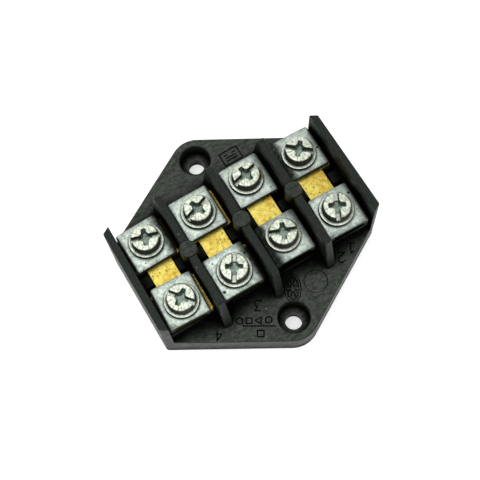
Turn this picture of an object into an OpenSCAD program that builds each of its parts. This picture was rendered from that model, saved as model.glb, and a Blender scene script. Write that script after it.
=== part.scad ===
// Four-pole barrier terminal strip, millimetres.
// A moulded hexagonal base carries four brass bus bars in channels between upright
// barriers. Every bar takes two saddle clamps, each pressed down by a washer and a
// slotted cross-recess screw.
// Origin: centre of the base underside. +X runs along the row of poles, +Y towards
// terminal row "a", +Z up.

/* [Terminals] */
// Distance between neighbouring poles
pole_pitch = 15.0; // [13.5:0.1:18]
// Distance between screw row a and screw row b
row_spacing = 18.0; // [16.5:0.1:19]
// Straight length of the moulding's left and right sides, shared by the pedestal
block_length = 28.4; // [26.6:0.1:31]

/* [Base plate] */
// Thickness of the mounting plate
plate_t = 7.5; // [6.8:0.1:10]
// Distance between the two mounting holes
mount_spacing = 50.0; // [47:0.5:56]
// Distance from a mounting hole to the point where the sloping ends meet
tip_margin = 7.2; // [6.6:0.1:9]
// Rounding of the two pointed ends
tip_r = 7.0; // [4:0.1:9]
// Diameter of the mounting holes
mount_hole_d = 4.4; // [3.4:0.1:5.2]
// Diameter of the counterbore for the mounting screw's head
counterbore_d = 8.2; // [7.2:0.1:9]
// Depth of that counterbore
counterbore_depth = 4.0; // [2.5:0.1:4.4]

/* [Underside] */
// Depth of the recess moulded into the underside
recess_depth = 2.0; // [1:0.1:2.2]
// Width of the rim left around the recess
rim_w = 3.0; // [2:0.1:4]
// Diameter of the bosses left around the mounting holes
boss_d = 11.0; // [9.6:0.1:12]

/* [Pedestal and barriers] */
// Height of the pedestal above the mounting plate
pedestal_h = 2.4; // [1.5:0.1:4]
// Height of the barriers above the mounting plate
barrier_h = 12.7; // [11.2:0.1:16]
// Thickness of an inner barrier at its foot
barrier_t = 2.3; // [1.8:0.1:2.6]
// Thickness of an outer barrier at its foot
outer_barrier_t = 2.2; // [1.8:0.1:3]
// Draft of the barrier faces, degrees from upright
barrier_draft = 0.8; // [0.3:0.1:1.4]
// Length of an inner barrier at its foot
barrier_foot = 37.7; // [36:0.1:40]
// Length of an inner barrier along its top
barrier_crest = 32.4; // [30:0.1:34.5]
// Rounding of the crest's two ends
crest_r = 0.8; // [0.3:0.1:1.5]
// Diameter of the marker posts in the middle of the inner barriers
post_d = 4.4; // [3:0.1:5]
// How far a post's flat top stands above the barrier crest
post_rise = 0.15; // [0.1:0.05:0.6]
// Height of the locating blocks above the pedestal
block_h = 3.5; // [2.8:0.1:5]
// Width of the locating blocks along the channel
block_w = 3.2; // [2:0.1:4]
// Clearance between the locating blocks and the bar's neck
block_clearance = 0.25; // [0.1:0.05:0.4]

/* [Bus bars] */
// Thickness of a bus bar
bar_t = 2.5; // [2:0.1:3.5]
// Distance from a tapped hole to the nearer end of the bar
bar_end = 4.9; // [4.4:0.1:5.4]
// Clearance between a bar's wide end and the barrier foot
bar_side_gap = 0.15; // [0.1:0.05:0.5]
// Width of a bar's neck
neck_w = 7.0; // [6:0.1:8]
// Corner rounding of a bar in plan
bar_corner_r = 0.6; // [0.3:0.1:1.2]

/* [Saddle clamps] */
// Gap between a saddle clamp and the barrier foot
clamp_side_gap = 0.7; // [0.6:0.05:1.2]
// Length of a saddle clamp along the channel
clamp_length = 11.5; // [10:0.1:12]
// Sheet thickness of a saddle clamp
clamp_sheet_t = 1.0; // [0.8:0.1:1.4]
// Height of a saddle clamp over its bent legs
clamp_h = 2.2; // [1.8:0.1:3]
// Outside radius of the leg bends
clamp_bend_r = 1.2; // [1.1:0.1:1.7]
// Corner rounding of the clamp's bent edges, seen from the side
clamp_corner_r = 0.6; // [0.2:0.1:0.8]
// Clearance hole for the screw
clamp_hole_d = 5.4; // [5.3:0.1:5.8]

/* [Washers] */
// Outside diameter of a washer
washer_d = 8.9; // [8.2:0.1:9.8]
// Thickness of a washer
washer_t = 1.1; // [0.8:0.1:1.4]
// Bore of a washer
washer_bore_d = 4.6; // [4.4:0.1:5]

/* [Screws] */
// Nominal diameter of the screw
screw_d = 4.0; // [3.4:0.1:4]
// Length under the head
screw_length = 10.0; // [8:0.5:11]
// Diameter of the head
head_d = 7.4; // [7:0.1:8]
// Height of the head
head_h = 2.6; // [2.2:0.1:3.2]
// Rounding of the head's upper edge
head_edge_r = 0.5; // [0.1:0.05:0.6]
// Width of the driving slot
slot_w = 1.3; // [1:0.1:1.5]
// Depth of the driving slot
slot_depth = 1.6; // [1:0.1:1.8]
// Span of the cross recess across its arms
recess_span = 4.5; // [3.8:0.1:4.9]
// Width of one arm of the cross recess
recess_arm_w = 1.2; // [0.9:0.05:1.4]
// Diameter of the round middle of the cross recess
recess_core_d = 2.7; // [2.3:0.1:3.1]
// Depth of the cross recess
recess_h = 2.0; // [1.9:0.05:2.15]
// Chamfer at the tip of the shank
screw_chamfer = 0.6; // [0.3:0.1:0.9]
// Radial clearance of the screw in the bar's tapped hole
thread_clearance = 0.05; // [0.03:0.01:0.1]
// Space left under the tip of the screw
tip_gap = 1.2; // [0.6:0.1:1.6]
// Radial clearance of the pocket under the bar around the screw
pocket_clearance = 0.5; // [0.3:0.1:0.8]

/* [Ejector witness] */
// Diameter of the shallow ejector witness on the mounting plate
witness_d = 6.0; // [4:0.1:6.6]
// Depth of the ejector witness
witness_depth = 0.15; // [0.1:0.05:0.4]
// Distance of the ejector witness from the middle of the plate, along the row of poles
witness_side = 9.65; // [8.5:0.05:10.5]
// Distance of the ejector witness from the foot of the pedestal
witness_reach = 5.7; // [4:0.1:6.2]

/* [Hidden] */
$fn = 96;
poles = 4;
rows = ["a", "b"];
// How far each bar has slid towards row a, as a share of its free movement each way
slide_shares = [-0.06, -0.06, 0.94, 0.27];
// How far each clamp has settled from its screw along X and Y, row a then row b of each pole
clamp_shifts = [
    [[-0.35, -0.3], [-0.25, 0.5]],
    [[-0.3, 0.15], [-0.3, 0.45]],
    [[0.2, -0.4], [0.2, -0.4]],
    [[0.3, 0.35], [0.3, -0.15]]
];
// Turn of every clamp from square, degrees, row a then row b of each pole
clamp_turns = [[1.5, -2.4], [0, 0], [0, -1], [-1, -1.8]];
// Turn of every screw slot from +X, degrees, row a then row b of each pole
slot_turns = [[-16, -52], [20, 59], [14, -21], [-41, 64]];

eps = 0.01;
// How far a rounding circle stands past the sides that it rounds.
crossing = 0.01;
half_row = poles * pole_pitch / 2;
half_w = half_row + outer_barrier_t / 2;
corner_y = block_length / 2;
tip_y = mount_spacing / 2 + tip_margin;
end_slope = atan((tip_y - corner_y) / half_w);
channel_w = pole_pitch - barrier_t;

z_pedestal = plate_t + pedestal_h;
z_bar = z_pedestal + bar_t;
z_clamp = z_bar + clamp_h;
z_washer = z_clamp + washer_t;
z_head = z_washer + head_h;
z_crest = plate_t + barrier_h;
z_post = z_crest + post_rise;
z_screw_tip = z_washer - screw_length;
z_pocket = z_screw_tip - tip_gap;

bar_w = channel_w - 2 * bar_side_gap;
bar_length = row_spacing + 2 * bar_end;
clamp_w = channel_w - 2 * clamp_side_gap;
// A bar's shoulders lie under the inner edges of its clamps, and both stop at the blocks.
notch_half = (row_spacing - clamp_length) / 2;
bar_play = notch_half - block_w / 2;
pocket_r = screw_d / 2 + pocket_clearance;

function pole_x(p) = (p - (poles + 1) / 2) * pole_pitch;
function pole_y(p) = slide_shares[p - 1] * bar_play;
function row_y(r) = (r == 0 ? 1 : -1) * row_spacing / 2;

// Puts its children on the axis of one terminal screw.
module at_terminal(p, r) {
    translate([pole_x(p), pole_y(p) + row_y(r), 0])
        children();
}

// Plan of the mounting plate, moved inwards by inset. Each tip circle stands a little
// past the sloping sides, so that it crosses them cleanly instead of grazing them.
module hexagon(inset) {
    side_x = half_w - inset;
    point_y = tip_y - inset / cos(end_slope);
    side_y = point_y - side_x * tan(end_slope);
    round_r = tip_r - inset;
    round_y = point_y - round_r / cos(end_slope);
    touch_y = round_y + round_r * cos(end_slope);
    intersection() {
        polygon([
            [side_x, -side_y], [side_x, side_y], [0, point_y],
            [-side_x, side_y], [-side_x, -side_y], [0, -point_y]
        ]);
        union() {
            square([2 * half_w + 2, 2 * touch_y], center = true);
            for (s = [-1, 1])
                translate([0, s * round_y])
                    circle(r = round_r + crossing);
        }
    }
}

// Cross-section of a barrier over its thickness, with draft on both faces.
module barrier_section(foot_t) {
    lean = barrier_h * tan(barrier_draft);
    polygon([
        [-foot_t / 2, plate_t - eps], [foot_t / 2, plate_t - eps],
        [foot_t / 2 - lean, z_crest], [-foot_t / 2 + lean, z_crest]
    ]);
}

// Long view of an inner barrier: sloping ends and a rounded crest corner at each end.
module barrier_profile() {
    slope = atan(barrier_h / ((barrier_foot - barrier_crest) / 2));
    round_y = barrier_crest / 2 - crest_r * tan(slope / 2);
    round_z = z_crest - crest_r;
    intersection() {
        polygon([
            [-barrier_foot / 2, plate_t - eps], [barrier_foot / 2, plate_t - eps],
            [barrier_crest / 2, z_crest], [-barrier_crest / 2, z_crest]
        ]);
        union() {
            translate([-barrier_foot / 2 - 1, 0])
                square([barrier_foot + 2, round_z + crest_r * cos(slope)]);
            translate([-round_y, 0])
                square([2 * round_y, z_crest + 1]);
            for (s = [-1, 1])
                translate([s * round_y, round_z])
                    circle(r = crest_r + crossing);
        }
    }
}

module inner_barrier() {
    intersection() {
        rotate([90, 0, 90])
            linear_extrude(barrier_t, center = true)
                barrier_profile();
        rotate([90, 0, 0])
            linear_extrude(barrier_foot, center = true)
                barrier_section(barrier_t);
    }
}

// Outer barrier: its ends follow the sloping sides of the mounting plate.
module outer_barrier() {
    intersection() {
        translate([half_row, 0, 0])
            rotate([90, 0, 0])
                linear_extrude(2 * tip_y, center = true)
                    polygon([
                        [-outer_barrier_t / 2, plate_t - eps],
                        [outer_barrier_t / 2, plate_t - eps],
                        [outer_barrier_t / 2, z_crest],
                        [-outer_barrier_t / 2 + barrier_h * tan(barrier_draft), z_crest]
                    ]);
        linear_extrude(z_crest)
            hexagon(0);
    }
}

// Blocks that stand in the notches of one bus bar and keep it in place.
module locating_blocks(p) {
    inner_x = neck_w / 2 + block_clearance;
    for (s = [-1, 1])
        translate([pole_x(p) + s * (inner_x + pole_pitch / 2) / 2, 0, z_pedestal + block_h / 2 - eps])
            cube([pole_pitch / 2 - inner_x, block_w, block_h + 2 * eps], center = true);
}

// Pocket under one screw, long enough for the bar's free movement.
module screw_pocket(p, r) {
    depth = z_pedestal - z_pocket + eps;
    translate([pole_x(p), row_y(r), z_pocket]) {
        for (s = [-1, 1])
            translate([0, s * bar_play, 0])
                cylinder(r = pocket_r, h = depth);
        translate([-pocket_r, -bar_play, 0])
            cube([2 * pocket_r, 2 * bar_play, depth]);
    }
}

// Recess in the underside, with ribs under the inner barriers and bosses at the holes.
module underside_recess() {
    difference() {
        translate([0, 0, -eps])
            linear_extrude(recess_depth + eps)
                hexagon(rim_w);
        for (i = [1:poles - 1])
            translate([pole_x(i) + pole_pitch / 2, 0, recess_depth / 2])
                cube([barrier_t, 2 * tip_y, recess_depth + 4 * eps], center = true);
        for (s = [-1, 1])
            translate([0, s * mount_spacing / 2, -2 * eps])
                cylinder(d = boss_d, h = recess_depth + 4 * eps);
    }
}

module mounting_hole() {
    translate([0, 0, -eps])
        cylinder(d = mount_hole_d, h = plate_t + 2 * eps);
    translate([0, 0, plate_t - counterbore_depth])
        cylinder(d = counterbore_d, h = counterbore_depth + eps);
}

module base() {
    color("#3a3a38")
        difference() {
            union() {
                linear_extrude(plate_t)
                    hexagon(0);
                translate([-half_w, -corner_y, plate_t - eps])
                    cube([2 * half_w, block_length, pedestal_h + eps]);
                for (i = [1:poles - 1])
                    translate([pole_x(i) + pole_pitch / 2, 0, 0]) {
                        inner_barrier();
                        translate([0, 0, plate_t])
                            cylinder(d = post_d, h = z_post - plate_t);
                    }
                outer_barrier();
                mirror([1, 0, 0])
                    outer_barrier();
                for (p = [1:poles])
                    locating_blocks(p);
            }
            underside_recess();
            for (s = [-1, 1])
                translate([0, s * mount_spacing / 2, 0])
                    mounting_hole();
            for (p = [1:poles], r = [0, 1])
                screw_pocket(p, r);
            translate([witness_side, -corner_y - witness_reach, plate_t - witness_depth])
                cylinder(d = witness_d, h = witness_depth + eps);
        }
}

module bus_bar(p) {
    corner_x = bar_w / 2 - bar_corner_r;
    far_y = bar_length / 2 - bar_corner_r;
    color("#dcb862")
        translate([pole_x(p), pole_y(p), z_pedestal])
            linear_extrude(bar_t)
                difference() {
                    union() {
                        for (s = [-1, 1]) {
                            translate([-bar_w / 2, s > 0 ? notch_half : -far_y])
                                square([bar_w, far_y - notch_half]);
                            translate([-corner_x, s > 0 ? far_y - eps : -bar_length / 2])
                                square([2 * corner_x, bar_corner_r + eps]);
                            for (t = [-1, 1])
                                translate([t * corner_x, s * far_y])
                                    circle(r = bar_corner_r);
                        }
                        square([neck_w, 2 * notch_half + 2 * eps], center = true);
                    }
                    for (r = [0, 1])
                        translate([0, row_y(r)])
                            circle(r = screw_d / 2 + thread_clearance);
                }
}

// Bent cross-section of a saddle clamp over its width, standing on its two legs.
module clamp_section() {
    flat_x = clamp_w / 2 - clamp_bend_r;
    difference() {
        union() {
            translate([-flat_x, 0])
                square([2 * flat_x, clamp_h]);
            translate([-clamp_w / 2, 0])
                square([clamp_w, clamp_h - clamp_bend_r]);
            for (s = [-1, 1])
                translate([s * flat_x, clamp_h - clamp_bend_r])
                    circle(r = clamp_bend_r);
        }
        translate([-flat_x, -eps])
            square([2 * flat_x, clamp_h - clamp_sheet_t + eps]);
        translate([-clamp_w / 2 + clamp_sheet_t, -eps])
            square([clamp_w - 2 * clamp_sheet_t, clamp_h - clamp_bend_r + eps]);
        for (s = [-1, 1])
            translate([s * flat_x, clamp_h - clamp_bend_r])
                circle(r = clamp_bend_r - clamp_sheet_t);
    }
}

// Side view of a saddle clamp: the leg corners are rounded off.
module clamp_outline() {
    flat_y = clamp_length / 2 - clamp_corner_r;
    translate([-flat_y, 0])
        square([2 * flat_y, clamp_h + eps]);
    translate([-clamp_length / 2, clamp_corner_r])
        square([clamp_length, clamp_h - clamp_corner_r + eps]);
    for (s = [-1, 1])
        translate([s * flat_y, clamp_corner_r])
            circle(r = clamp_corner_r);
}

module clamp_plate(p, r) {
    color("#b9c2bd")
        at_terminal(p, r)
            translate(concat(clamp_shifts[p - 1][r], z_bar))
                rotate([0, 0, clamp_turns[p - 1][r]])
                    difference() {
                        intersection() {
                            rotate([90, 0, 0])
                                linear_extrude(clamp_length, center = true)
                                    clamp_section();
                            rotate([90, 0, 90])
                                linear_extrude(clamp_w, center = true)
                                    clamp_outline();
                        }
                        cylinder(d = clamp_hole_d, h = clamp_h + 1);
                    }
}

module washer(p, r) {
    color("#c9cdc9")
        at_terminal(p, r)
            translate([0, 0, z_clamp])
                difference() {
                    cylinder(d = washer_d, h = washer_t);
                    translate([0, 0, -eps])
                        cylinder(d = washer_bore_d, h = washer_t + 2 * eps);
                }
}

// Turned form of a screw: pointed shank end, shank and head with a rounded edge.
module screw_blank() {
    translate([0, 0, z_screw_tip])
        cylinder(d1 = screw_d - 2 * screw_chamfer, d2 = screw_d, h = screw_chamfer);
    translate([0, 0, z_screw_tip + screw_chamfer])
        cylinder(d = screw_d, h = screw_length - screw_chamfer + eps);
    translate([0, 0, z_washer])
        rotate_extrude() {
            square([head_d / 2, head_h - head_edge_r]);
            square([head_d / 2 - head_edge_r, head_h]);
            translate([head_d / 2 - head_edge_r, head_h - head_edge_r])
                circle(r = head_edge_r);
        }
}

module screw(p, r) {
    color("#d6d6cc")
        at_terminal(p, r)
            difference() {
                screw_blank();
                rotate([0, 0, slot_turns[p - 1][r]]) {
                    translate([-head_d / 2 - 1, -slot_w / 2, z_head - slot_depth])
                        cube([head_d + 2, slot_w, slot_depth + 1]);
                    for (t = [0, 90])
                        rotate([0, 0, t])
                            translate([-recess_span / 2, -recess_arm_w / 2, z_head - recess_h])
                                cube([recess_span, recess_arm_w, recess_h + 1]);
                    translate([0, 0, z_head - recess_h])
                        cylinder(d = recess_core_d, h = recess_h + 1);
                }
            }
}

base();
for (p = [1:poles]) {
    bus_bar(p);
    for (r = [0, 1]) {
        clamp_plate(p, r);
        washer(p, r);
        screw(p, r);
    }
}
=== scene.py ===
"""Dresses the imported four-pole barrier terminal strip and sets it on a white sweep.

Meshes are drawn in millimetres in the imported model's own frame: +X along the row of
poles, +Y from screw row b towards screw row a, +Z up. They turn to metres once, when a
mesh becomes a piece.
"""

import logging
import math
from dataclasses import dataclass, field
from enum import Enum
from functools import partial
from typing import Callable, Iterable, Sequence

import bmesh
import bpy
from mathutils import Matrix, Vector

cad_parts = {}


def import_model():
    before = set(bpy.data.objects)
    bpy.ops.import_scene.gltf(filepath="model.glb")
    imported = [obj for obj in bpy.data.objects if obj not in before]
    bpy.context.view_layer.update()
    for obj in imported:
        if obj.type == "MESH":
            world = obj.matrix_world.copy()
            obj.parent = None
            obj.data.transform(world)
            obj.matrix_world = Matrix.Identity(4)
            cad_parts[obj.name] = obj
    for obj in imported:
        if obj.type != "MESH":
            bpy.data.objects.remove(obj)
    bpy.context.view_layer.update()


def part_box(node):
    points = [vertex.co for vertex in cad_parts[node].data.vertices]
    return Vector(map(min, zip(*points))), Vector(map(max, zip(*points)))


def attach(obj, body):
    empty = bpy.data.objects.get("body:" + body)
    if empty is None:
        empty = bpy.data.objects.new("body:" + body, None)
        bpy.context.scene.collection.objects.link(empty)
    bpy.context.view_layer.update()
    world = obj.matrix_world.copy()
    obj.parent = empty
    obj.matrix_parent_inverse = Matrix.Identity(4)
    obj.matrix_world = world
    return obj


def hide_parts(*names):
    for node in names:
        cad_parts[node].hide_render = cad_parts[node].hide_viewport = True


Point2 = tuple[float, float]
Triple = tuple[float, float, float]
Edge = bmesh.types.BMEdge
Mesh = bmesh.types.BMesh
Ring = list[bmesh.types.BMVert]
Tree = bpy.types.NodeTree
Socket = bpy.types.NodeSocket
Source = bpy.types.Node | bpy.types.NodeSocket

LOG = logging.getLogger("terminal_strip")
MM = 0.001
POLES = (1, 2, 3, 4)
ROWS = ("a", "b")
# Names of the eight screw places: pole and row.
PLACES = tuple(f"{pole}{row}" for pole in POLES for row in ROWS)
SIDES = (-1, 1)
# How far a cutting tool passes the face that it opens, in millimetres.
CLEAR = 1.0
# Heights and radii that differ by less than this count as equal, in millimetres.
NEAR = 1e-3
# Points closer than this are merged when a piece is finished, in millimetres.
MERGE = 1e-4
# Turn between two faces, in degrees, above which their edge is sharp enough to be
# rounded, and above which it is shaded crisp.
ROUNDED_DEG = 40.0
CRISP_DEG = 38.0


# ---------------------------------------------------------------- colour and nodes


def linear(hex_colour: str) -> tuple[float, float, float, float]:
    """Turns an sRGB hex colour into the linear colour that a shader takes.

    Args:
        hex_colour: Six hex digits with a leading hash.

    Returns:
        Linear red, green, blue and an alpha of 1.
    """
    parts = [int(hex_colour[i : i + 2], 16) / 255 for i in (1, 3, 5)]
    red, green, blue = (c / 12.92 if c <= 0.04045 else ((c + 0.055) / 1.055) ** 2.4 for c in parts)
    return red, green, blue, 1.0


def per_mm(size_mm: float) -> float:
    """The texture scale, per metre, of a pattern whose grains are size_mm across."""
    return 1.0 / (size_mm * MM)


def add_node(
    tree: Tree,
    kind: str,
    settings: dict[str | int, object] | None = None,
    links: dict[str | int, Source] | None = None,
) -> bpy.types.Node:
    """Adds one node with its settings and links.

    Args:
        tree: The node tree that takes it.
        kind: The node's type, without the leading ShaderNode.
        settings: Attribute values by attribute name, and socket values by the name or
            number of the input. A colour ramp's places and hex colours go in as stops,
            and a mapped range's from and to, two numbers each, as span.
        links: What feeds the new node, by the name or number of its input: a socket, or
            a node, which stands for its first output in use.

    Returns:
        The new node.
    """
    node = tree.nodes.new("ShaderNode" + kind)
    for key, value in (settings or {}).items():
        if key == "stops":
            elements = node.color_ramp.elements
            for element, (place, colour) in zip(elements, value):
                element.position = place
                element.color = linear(colour)
        elif key == "span":
            for bound, number in zip(("From Min", "From Max", "To Min", "To Max"), value):
                node.inputs[bound].default_value = number
        elif isinstance(key, str) and hasattr(node, key):
            setattr(node, key, value)
        else:
            node.inputs[key].default_value = value
    for key, source in (links or {}).items():
        if isinstance(source, bpy.types.Node):
            source = next(output for output in source.outputs if output.enabled)
        tree.links.new(source, node.inputs[key])
    return node


def folded(tree: Tree, operation: str, *shares: Source) -> Source:
    """Combines shares, one after the other, with one arithmetic operation."""
    whole = shares[0]
    for share in shares[1:]:
        whole = add_node(tree, "Math", {"operation": operation}, {0: whole, 1: share})
    return whole


def coated(tree: Tree, ground: Source, *coats: tuple[Source, str]) -> Source:
    """Lays coats of colour over a ground, one after the other.

    Args:
        tree: The node tree.
        ground: The colour that they lie on.
        coats: How much of each coat lies at a point, 0 to 1, and its hex colour.

    Returns:
        The colour on top.
    """
    for share, colour in coats:
        settings = {"data_type": "RGBA", 7: linear(colour)}
        ground = add_node(tree, "Mix", settings, {0: share, 6: ground})
    return ground


def closed_in(tree: Tree, reach_mm: float, openness: Point2, most: float) -> Source:
    """How closed in a point is by what stands near it.

    Args:
        tree: The node tree.
        reach_mm: How far away things still count.
        openness: The shares of open sky at which it starts and is full.
        most: The value where it is full.

    Returns:
        A share from 0 to most.
    """
    sky = add_node(tree, "AmbientOcclusion", {"samples": 8, "Distance": reach_mm * MM})
    return add_node(tree, "MapRange", {"span": (*openness, 0.0, most)}, {"Value": sky.outputs["AO"]})


def along_edges(tree: Tree, radius_mm: float, turn: Point2, most: float) -> Source:
    """How near a point is to an edge.

    Args:
        tree: The node tree.
        radius_mm: How far from the edge it reaches.
        turn: Cosines of the turn from a softened edge at which it starts and is full.
        most: The value where it is full.

    Returns:
        A share from 0 to most.
    """
    soft = add_node(tree, "Bevel", {"samples": 4, "Radius": radius_mm * MM})
    flat = add_node(tree, "NewGeometry").outputs["Normal"]
    cosine = add_node(tree, "VectorMath", {"operation": "DOT_PRODUCT"}, {0: soft, 1: flat})
    return add_node(tree, "MapRange", {"span": (*turn, 0.0, most)}, {"Value": cosine})


def upward(tree: Tree) -> Socket:
    """How far a surface faces up: 1 for a floor, 0 for a wall."""
    flat = add_node(tree, "NewGeometry").outputs["Normal"]
    return add_node(tree, "SeparateXYZ", links={"Vector": flat}).outputs["Z"]


def seen_by(tree: Tree, *rays: str) -> Source:
    """Whether the ray that meets a surface is of one of the named kinds, 1 or 0."""
    path = add_node(tree, "LightPath")
    return folded(tree, "MAXIMUM", *(path.outputs[f"Is {ray} Ray"] for ray in rays))


# ---------------------------------------------------------------- finishes


@dataclass(frozen=True)
class Finish:
    """What all finishes share: a material name and a surface drawn with nodes."""

    name: str = "finish"
    slot: str = "phenolic"

    def material(self) -> bpy.types.Material:
        """The finish's material, made once and then used again."""
        made = bpy.data.materials.get(self.name)
        if made is None:
            made = bpy.data.materials.new(self.name)
            made.use_nodes = True
            made.node_tree.nodes.clear()
            shader = self.surface(made.node_tree)
            add_node(made.node_tree, "OutputMaterial", links={"Surface": shader})
        return made

    def surface(self, tree: Tree) -> Source:
        """Draws the surface and returns its shader."""
        raise NotImplementedError


@dataclass(frozen=True)
class MouldedPhenolic(Finish):
    """Black phenolic, compression moulded and matt, a little dusty from handling, with painted shade in its
    channels.
    """

    name: str = "moulded_phenolic"
    slot: str = "phenolic"
    body: str = "#0e120e"
    pale_body: str = "#1d221d"
    filler: str = "#434840"
    worn: str = "#686e67"
    crevice_shade: str = "#030403"
    dust: str = "#5a5f58"
    chip: str = "#a9ada3"
    sheen: str = "#eef8ee"
    filler_mm: float = 0.24
    nap_mm: float = 0.75
    mottle_mm: float = 2.2
    edge_mm: float = 0.22
    reach_mm: float = 8.0
    chip_mm: float = 2.4
    dust_below_mm: float = 8.0
    dust_above_mm: float = 20.28
    gloss: float = 0.18
    roughness: Point2 = (0.36, 0.58)

    def surface(self, tree: Tree) -> Source:
        """Draws the surface and returns its shader."""
        node = partial(add_node, tree)
        at = {"Vector": node("TexCoord").outputs["Object"]}
        # Wood-flour filler: fine pale specks in a black resin.
        specks = node("TexNoise", {"Scale": per_mm(self.filler_mm), "Detail": 2.0, "Roughness": 0.6}, at)
        fleck = node("MapRange", {"span": (0.56, 0.74, 0.0, 0.75)}, {"Value": specks})
        # Slow mottling where hands and dust have dulled the skin.
        mottle = node("TexNoise", {"Scale": per_mm(self.mottle_mm), "Detail": 6.0, "Roughness": 0.7}, at)
        # A rubbed nap, drawn out a little along X.
        drawn = {"Vector": node("Mapping", {"Scale": (0.5, 1.0, 1.0)}, at)}
        nap = node("TexNoise", {"Scale": per_mm(self.nap_mm), "Detail": 3.0, "Roughness": 0.75}, drawn)
        both = node("Math", {"operation": "MULTIPLY", 1: 0.4}, {0: mottle})
        mixed = node("Math", {"operation": "MULTIPLY_ADD", 1: 0.6}, {0: nap, 2: both})
        ground = node("ValToRGB", {"stops": [(0.40, self.body), (0.60, self.pale_body)]}, {"Fac": mixed})
        # Dust settles on the low flat plate and on the posts, not on walls or crests.
        height = {"Value": node("SeparateXYZ", links=at).outputs["Z"]}
        low, high = self.dust_below_mm, self.dust_above_mm
        low_down = node("MapRange", {"span": (low * MM, (low - 0.3) * MM)}, height)
        high_up = node("MapRange", {"span": ((high - 0.03) * MM, high * MM, 0.0, 0.55)}, height)
        reached = folded(tree, "MAXIMUM", low_down, high_up)
        level = node("MapRange", {"span": (0.85, 0.98)}, {"Value": upward(tree)})
        cloud = node("MapRange", {"span": (0.40, 0.62, 0.05, 0.70)}, {"Value": mixed})
        thick = folded(tree, "MULTIPLY", reached, level, cloud)
        # A few bright chips and grains.
        cells = node("TexVoronoi", {"Scale": per_mm(self.chip_mm), "Randomness": 1.0}, at)
        chance = node("SeparateColor", links={"Color": cells.outputs["Color"]}).outputs["Green"]
        size = node("MapRange", {"span": (0.5, 1.0, 0.0, 0.075)}, {"Value": chance})
        chips = folded(tree, "LESS_THAN", cells.outputs["Distance"], size)
        # Handling wears the skin off the edges, which then read paler.
        broken = folded(tree, "MULTIPLY", along_edges(tree, self.edge_mm, (0.995, 0.86), 0.9), mottle)
        # Painted shade: the channels and the foot of every wall are darkened to near black, and lose their
        # gloss, where little open sky reaches them.
        depth = closed_in(tree, self.reach_mm, (0.84, 0.54), 0.97)
        coats = [(fleck, self.filler), (thick, self.dust), (chips, self.chip)]
        colour = coated(tree, ground, *coats, (broken, self.worn), (depth, self.crevice_shade))
        shine = node("MapRange", {"span": (0.0, 0.9, self.gloss, 0.0)}, {"Value": depth})
        rough = node("MapRange", {"span": (0.3, 0.7, *self.roughness)}, {"Value": mottle})
        grain = node("Bump", {"Strength": 0.5, "Distance": 0.03 * MM}, {"Height": specks})
        settings = {"Strength": 0.35, "Distance": 0.12 * MM}
        waves = node("Bump", settings, {"Height": mottle, "Normal": grain})
        links = {"Base Color": colour, "Roughness": rough, "Specular IOR Level": shine, "Normal": waves}
        return node("BsdfPrincipled", {"IOR": 1.55, "Specular Tint": linear(self.sheen)}, links)


# The plate, walls and posts: matt black, rubbed paler at the edges.
WORN_PHENOLIC = MouldedPhenolic()
# The floor of the engraved marks: a darker copy of the phenolic, painted shade down in the grooves.
SUNK_PHENOLIC = MouldedPhenolic(name="shaded_engraved_phenolic", body="#060706", pale_body="#0d0f0d", gloss=0.12)
# The fixing holes: painted shade down the bore, with dust on the counterbore's floor.
BORED_PHENOLIC = MouldedPhenolic(
    name="bored_phenolic", body="#0b0e0b", pale_body="#191d19", reach_mm=2.6, dust_below_mm=3.8, gloss=0.12
)


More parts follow.
